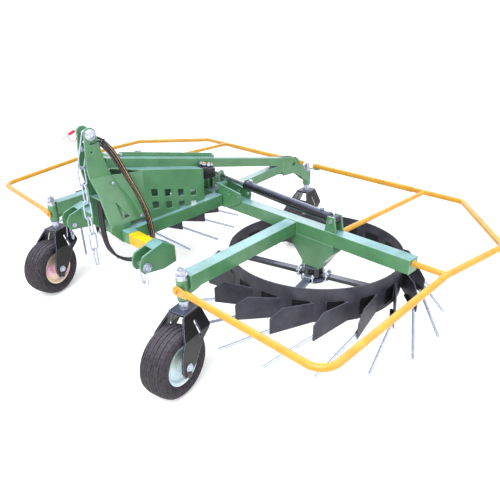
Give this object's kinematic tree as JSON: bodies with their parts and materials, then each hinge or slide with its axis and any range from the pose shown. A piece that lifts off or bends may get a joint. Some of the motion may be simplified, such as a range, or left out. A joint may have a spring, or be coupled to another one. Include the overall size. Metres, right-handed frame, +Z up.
{
  "type": "rotary hay rake",
  "caption": "Folding twin-rotor hay rake pushed on a tractor's three-point linkage, with ground-driven paddle rotors, castor wheels and tube guards.",
  "frame": {"origin": "centre of the object's box at ground level", "axes": "+X to the rake's right, +Y away from the headstock in the working direction, +Z up"},
  "size_m": [3.428, 2.1719, 1.219],
  "materials": {
    "green_enamel": "gloss",
    "yellow_enamel": "gloss",
    "black_enamel": "satin",
    "rotor_rubber": "matt",
    "galvanised": "spangled",
    "zinc_plate": "plated",
    "tyre_rubber": "matt",
    "hose_rubber": "matt",
    "red_plastic": "dipped",
    "rod_chrome": "polished"
  },
  "bodies": {
    "frame": {"headstock_plates": "green_enamel", "hitch_beam": "green_enamel", "lower_clevises": "green_enamel", "linkage_pins": "zinc_plate", "frame_tubes": "green_enamel", "side_panels": "green_enamel", "top_tube": "green_enamel", "front_head": "green_enamel", "hinge_head": "green_enamel", "hinge_pins": "zinc_plate", "lifting_chain": "galvanised", "top_pin_clip": "red_plastic", "valve_block": "black_enamel", "hose_one": "hose_rubber", "hose_two": "hose_rubber", "hose_three": "hose_rubber"},
    "right_arm": {"right_arm": "green_enamel", "right_arm_plates": "green_enamel", "right_hub_bracket": "green_enamel", "right_cylinder_pin": "zinc_plate", "right_guard_rail": "yellow_enamel"},
    "right_rotor": {"right_rotor_hub": "black_enamel", "right_paddle_ring": "rotor_rubber", "right_tines": "galvanised"},
    "right_barrel": {"right_cylinder_barrel": "black_enamel"},
    "right_rod": {"right_cylinder_rod": "rod_chrome"},
    "left_arm": {"left_arm": "green_enamel", "left_arm_plates": "green_enamel", "left_hub_bracket": "green_enamel", "left_cylinder_pin": "zinc_plate", "left_guard_rail": "yellow_enamel"},
    "left_rotor": {"left_rotor_hub": "black_enamel", "left_paddle_ring": "rotor_rubber", "left_tines": "galvanised"},
    "left_barrel": {"left_cylinder_barrel": "black_enamel"},
    "left_rod": {"left_cylinder_rod": "rod_chrome"},
    "right_castor": {"right_castor_fork": "black_enamel"},
    "right_wheel": {"right_wheel_rim": "zinc_plate", "right_tyre": "tyre_rubber"},
    "left_castor": {"left_castor_fork": "black_enamel"},
    "left_wheel": {"left_wheel_rim": "zinc_plate", "left_tyre": "tyre_rubber"},
    "front_castor": {"front_castor_fork": "black_enamel"},
    "front_wheel": {"front_wheel_rim": "zinc_plate", "front_tyre": "tyre_rubber"}
  },
  "joints": [
    {"name": "right_arm_fold", "type": "hinge", "parent": "frame", "child": "right_arm", "pos_m": [0.08, 0.0397, 0.719], "axis": [0, -1, 0], "range_deg": [0, 80]},
    {"name": "right_cylinder_pivot", "type": "hinge", "parent": "right_arm", "child": "right_barrel", "pos_m": [1, 0.0397, 0.734], "axis": [0, -1, 0], "range_deg": [0, 2.04]},
    {"name": "right_cylinder_stroke", "type": "slide", "parent": "right_barrel", "child": "right_rod", "axis": [-0.9984, 0, 0.0572], "range_m": [-0.08758, 0]},
    {"name": "right_rotor_spin", "type": "hinge", "parent": "right_arm", "child": "right_rotor", "pos_m": [0.874, 0.0397, 0.392], "axis": [0, 0, 1], "continuous": true},
    {"name": "left_arm_fold", "type": "hinge", "parent": "frame", "child": "left_arm", "pos_m": [-0.08, 0.0397, 0.719], "axis": [0, 1, 0], "range_deg": [0, 80]},
    {"name": "left_cylinder_pivot", "type": "hinge", "parent": "left_arm", "child": "left_barrel", "pos_m": [-1, 0.0397, 0.734], "axis": [0, 1, 0], "range_deg": [0, 2.04]},
    {"name": "left_cylinder_stroke", "type": "slide", "parent": "left_barrel", "child": "left_rod", "axis": [0.9984, 0, 0.0572], "range_m": [-0.08758, 0]},
    {"name": "left_rotor_spin", "type": "hinge", "parent": "left_arm", "child": "left_rotor", "pos_m": [-0.874, 0.0397, 0.392], "axis": [0, 0, 1], "continuous": true},
    {"name": "right_castor_swivel", "type": "hinge", "parent": "right_arm", "child": "right_castor", "pos_m": [0.728, -0.7843, 0.542], "axis": [0, 0, 1], "range_deg": [-59, 18]},
    {"name": "right_wheel_spin", "type": "hinge", "parent": "right_castor", "child": "right_wheel", "pos_m": [0.75509, -0.89297, 0.183], "axis": [0.9703, 0.2419, 0], "continuous": true},
    {"name": "left_castor_swivel", "type": "hinge", "parent": "left_arm", "child": "left_castor", "pos_m": [-0.728, -0.7843, 0.542], "axis": [0, 0, 1], "range_deg": [-54, 23]},
    {"name": "left_wheel_spin", "type": "hinge", "parent": "left_castor", "child": "left_wheel", "pos_m": [-0.68604, -0.88814, 0.183], "axis": [0.9272, 0.3746, 0], "continuous": true},
    {"name": "front_castor_swivel", "type": "hinge", "parent": "frame", "child": "front_castor", "pos_m": [0, 1.0047, 0.542], "axis": [0, 0, 1], "continuous": true},
    {"name": "front_wheel_spin", "type": "hinge", "parent": "front_castor", "child": "front_wheel", "pos_m": [0.01559, 0.89379, 0.183], "axis": [0.9903, 0.1392, 0], "continuous": true}
  ],
  "couplings": [
    {"joint": "right_cylinder_pivot", "follows": "right_arm_fold", "ratio": 0.025409},
    {"joint": "right_cylinder_stroke", "follows": "right_arm_fold", "m_per_rad": -0.062649},
    {"joint": "left_cylinder_pivot", "follows": "left_arm_fold", "ratio": 0.025409},
    {"joint": "left_cylinder_stroke", "follows": "left_arm_fold", "m_per_rad": -0.062649}
  ]
}
